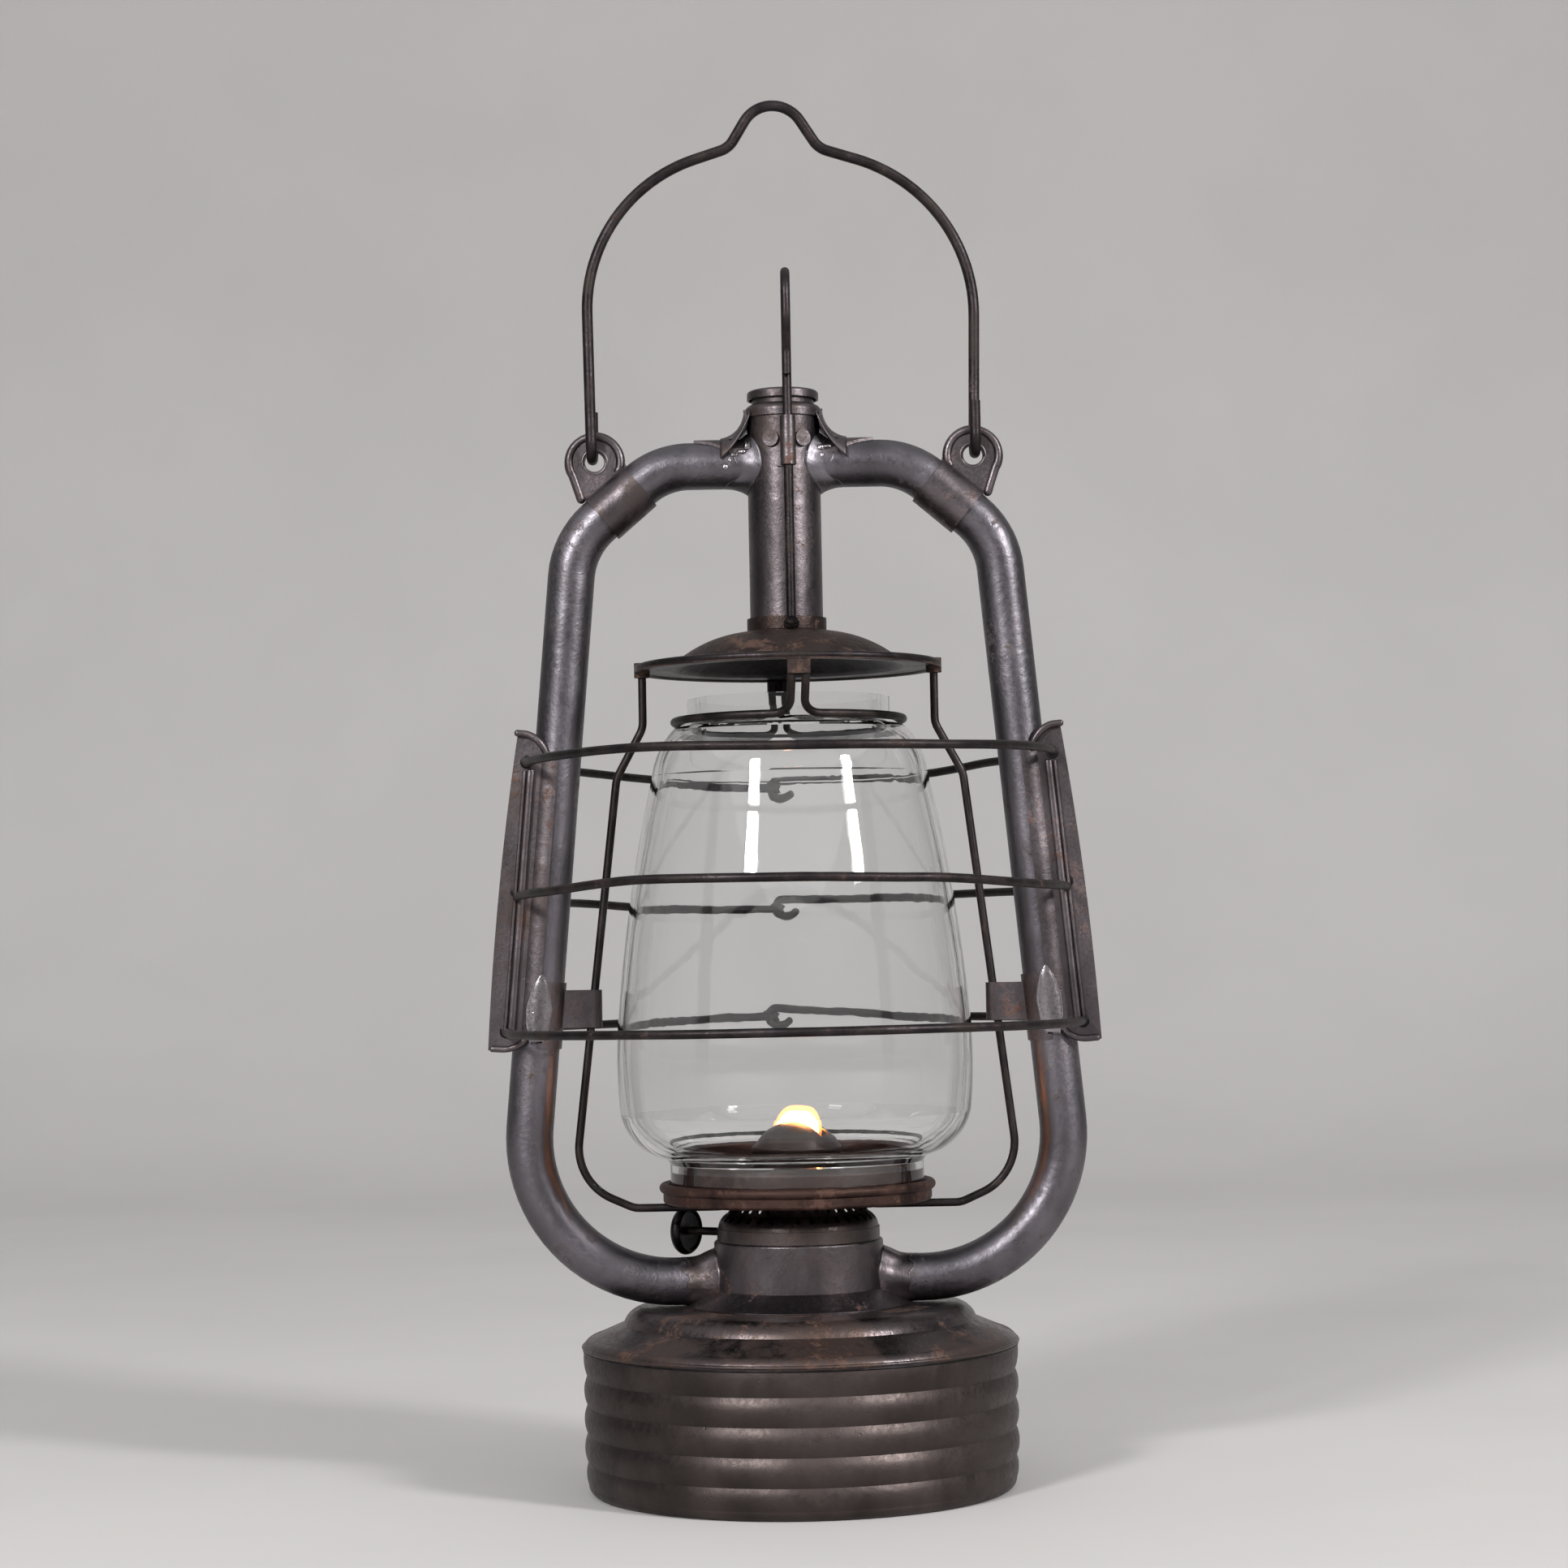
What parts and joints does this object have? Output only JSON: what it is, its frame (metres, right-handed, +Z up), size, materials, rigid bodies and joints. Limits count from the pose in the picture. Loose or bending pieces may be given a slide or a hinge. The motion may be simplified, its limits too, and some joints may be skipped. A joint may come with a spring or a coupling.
{
  "type": "barn lantern",
  "caption": "Tubular steel barn lantern: ribbed fount, curved air tubes, wire-guarded glass globe that lifts on a rod, and a wire bail.",
  "frame": {"origin": "on the resting surface at the middle of the fount", "axes": "+Z up along the chimney, +X to the right-hand air tube, -Y towards the front, where the lift rod is"},
  "size_m": [0.1498, 0.1434, 0.3422],
  "materials": {
    "fount": "dull dark steel with a brown cast, rubbed along the bands",
    "fount_top": "dark steel with brown oxide and a soft sheen",
    "tube": "polished gunmetal steel with fine pits and brown stains",
    "steel": "gunmetal steel sheet with solder and brown stains",
    "canopy": "matt brown oxide, rubbed bright on the rim",
    "wire": "dark drawn wire with dull rust",
    "dark_iron": "blackened stamped disc",
    "rusty_plate": "reddish brown rust over sheet steel",
    "burner": "heat-darkened thin sheet",
    "tinned_steel": "dull tinned steel",
    "gasket": "aged black washer",
    "wick": "woven flat cotton, charred at the top",
    "glass": "clear blown glass with thick edges"
  },
  "bodies": {
    "frame": {"fount_body": "fount", "fount_top": "fount_top", "filler_neck": "tinned_steel", "burner_collar": "steel", "wick_tube_plug": "tinned_steel", "burner_base": "burner", "burner_cone": "burner", "wick_tube": "burner", "rod_guide": "steel", "guide_rivets": "steel", "chimney_tube": "steel", "chimney_saddle": "steel", "chimney_cap": "steel", "arch_tube_left": "tube", "arch_tube_right": "tube", "bail_ear_left": "steel", "bail_ear_right": "steel", "side_tube_left": "tube", "side_tube_right": "tube", "guard_fin_left": "steel", "guard_fin_right": "steel", "guide_bracket_left": "steel", "guide_bracket_right": "steel", "guard_wire_top": "wire", "guard_wire_middle": "wire", "guard_wire_bottom": "wire"},
    "bail": {"bail": "wire"},
    "lift": {"canopy": "canopy", "lift_rod": "wire", "lift_rivet": "wire", "cradle_wire": "wire", "globe_clip_left": "wire", "globe_clip_right": "wire", "globe_plate": "rusty_plate", "burner_dome": "burner", "globe": "glass"},
    "wick_drive": {"wick_shaft": "wire", "spur_wheels": "burner", "wick_knob": "dark_iron"},
    "wick": {"wick": "wick"},
    "filler_gasket": {"filler_gasket": "gasket"},
    "filler_cap": {"filler_cap": "tinned_steel"}
  },
  "joints": [
    {"name": "bail_swing", "type": "hinge", "parent": "frame", "child": "bail", "pos_m": [0, 0, 0.2573], "axis": [1, 0, 0], "range_deg": [-115, 115]},
    {"name": "globe_lift", "type": "slide", "parent": "frame", "child": "lift", "axis": [0, 0, 1], "range_m": [0, 0.028]},
    {"name": "wick_turn", "type": "hinge", "parent": "frame", "child": "wick_drive", "pos_m": [-0.00212, -0.00339, 0.0619], "axis": [-0.848, 0.5299, 0], "range_deg": [-148, 55]},
    {"name": "wick_raise", "type": "slide", "parent": "frame", "child": "wick", "axis": [0, 0, 1], "range_m": [-0.0081, 0.0031]},
    {"name": "filler_rise", "type": "slide", "parent": "frame", "child": "filler_gasket", "axis": [0, 0, 1], "range_m": [0, 0.0031]},
    {"name": "filler_turn", "type": "hinge", "parent": "filler_gasket", "child": "filler_cap", "pos_m": [0.01289, 0.03038, 0.049], "axis": [0, 0, 1], "range_deg": [0, 540]}
  ],
  "couplings": [
    {"joint": "wick_raise", "follows": "wick_turn", "m_per_rad": 0.0031},
    {"joint": "filler_rise", "follows": "filler_turn", "m_per_rad": 0.00031831}
  ]
}
